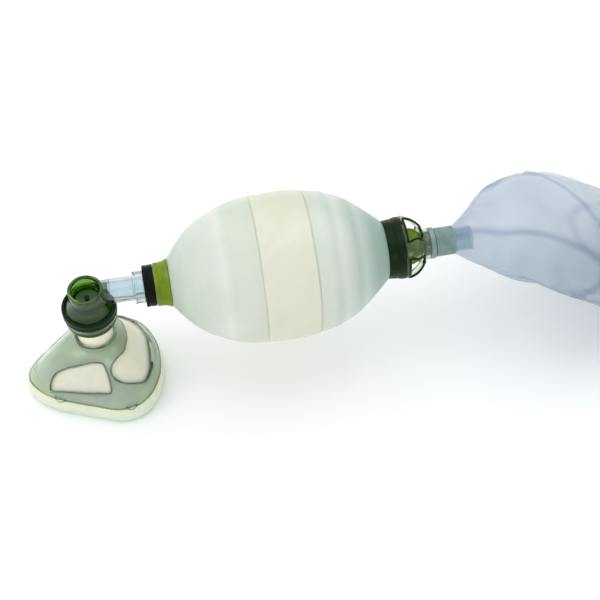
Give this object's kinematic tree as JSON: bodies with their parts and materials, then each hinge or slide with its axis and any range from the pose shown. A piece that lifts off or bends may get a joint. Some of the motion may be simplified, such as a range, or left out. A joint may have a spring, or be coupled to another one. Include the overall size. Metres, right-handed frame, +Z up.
{
  "type": "bag valve mask",
  "caption": "Adult manual resuscitator: silicone squeeze bag with a face mask on a patient valve at one end and an oxygen reservoir bag at the other.",
  "frame": {"origin": "under the middle of the whole object, on the plane that the mask rim and the reservoir bag rest on", "axes": "+X along the squeeze bag from the mask to the reservoir bag, +Z up along the patient valve"},
  "size_m": [0.7258, 0.1528, 0.1894],
  "materials": {
    "milky_silicone": "satin, milky and translucent",
    "cream_silicone": "satin",
    "valve_silicone": "satin",
    "smoked_green_plastic": "glossy, see-through",
    "pale_green_plastic": "glossy, see-through",
    "clear_blue_plastic": "glossy, clear",
    "clear_grey_plastic": "glossy, clear",
    "lime_green_plastic": "satin",
    "near_black_plastic": "satin",
    "grey_green_plastic": "satin",
    "black_rubber": "satin",
    "clear_film": "glossy, clear and creased"
  },
  "bodies": {
    "bag": {"squeeze_bag": "milky_silicone", "neck_insert": "clear_grey_plastic", "neck_ring": "near_black_plastic", "neck_collar": "lime_green_plastic", "intake_ring": "smoked_green_plastic", "intake_seat": "lime_green_plastic", "reservoir_cage": "smoked_green_plastic", "reservoir_valve_core": "lime_green_plastic", "oxygen_nipple": "smoked_green_plastic"},
    "pushed_wall": {"squeeze_panel": "milky_silicone"},
    "valve": {"inlet_tube": "clear_blue_plastic", "inlet_oring": "black_rubber", "valve_upper_housing": "smoked_green_plastic", "valve_lower_housing": "pale_green_plastic", "valve_lock_ring": "smoked_green_plastic", "exhalation_grille": "smoked_green_plastic", "lip_valve": "valve_silicone"},
    "exhalation_flap": {"exhalation_disc": "valve_silicone"},
    "mask": {"mask_body": "cream_silicone", "mask_cover": "clear_grey_plastic"},
    "intake_flap": {"intake_disc": "valve_silicone"},
    "air_inlet_flap": {"air_inlet_disc": "valve_silicone"},
    "blow_off_flap": {"blow_off_disc": "valve_silicone"},
    "reservoir": {"reservoir_connector": "grey_green_plastic", "ribbed_sleeve": "grey_green_plastic", "reservoir_neck_tube": "clear_blue_plastic", "reservoir_bag": "clear_film"}
  },
  "joints": [
    {"name": "bag_squeeze", "type": "slide", "parent": "bag", "child": "pushed_wall", "axis": [0, 1, 0], "range_m": [0, 0.04], "stiffness_N_per_m": 1200},
    {"name": "valve_swivel", "type": "hinge", "parent": "bag", "child": "valve", "pos_m": [-0.23335, 0, 0.124], "axis": [1, 0, 0], "continuous": true},
    {"name": "mask_swivel", "type": "hinge", "parent": "valve", "child": "mask", "pos_m": [-0.29055, -0.007, 0.0865], "axis": [0, 0, 1], "continuous": true},
    {"name": "reservoir_swivel", "type": "hinge", "parent": "bag", "child": "reservoir", "pos_m": [0.01205, 0, 0.124], "axis": [1, 0, 0], "continuous": true},
    {"name": "exhalation_disc_lift", "type": "slide", "parent": "valve", "child": "exhalation_flap", "axis": [0, 0, 1], "range_m": [0, 0.002], "stiffness_N_per_m": 40},
    {"name": "intake_disc_lift", "type": "slide", "parent": "bag", "child": "intake_flap", "axis": [-1, 0, 0], "range_m": [0, 0.002], "stiffness_N_per_m": 40},
    {"name": "air_inlet_disc_lift", "type": "slide", "parent": "bag", "child": "air_inlet_flap", "axis": [-1, 0, 0], "range_m": [0, 0.0015], "stiffness_N_per_m": 40},
    {"name": "blow_off_disc_lift", "type": "slide", "parent": "bag", "child": "blow_off_flap", "axis": [1, 0, 0], "range_m": [0, 0.0015], "stiffness_N_per_m": 40}
  ]
}
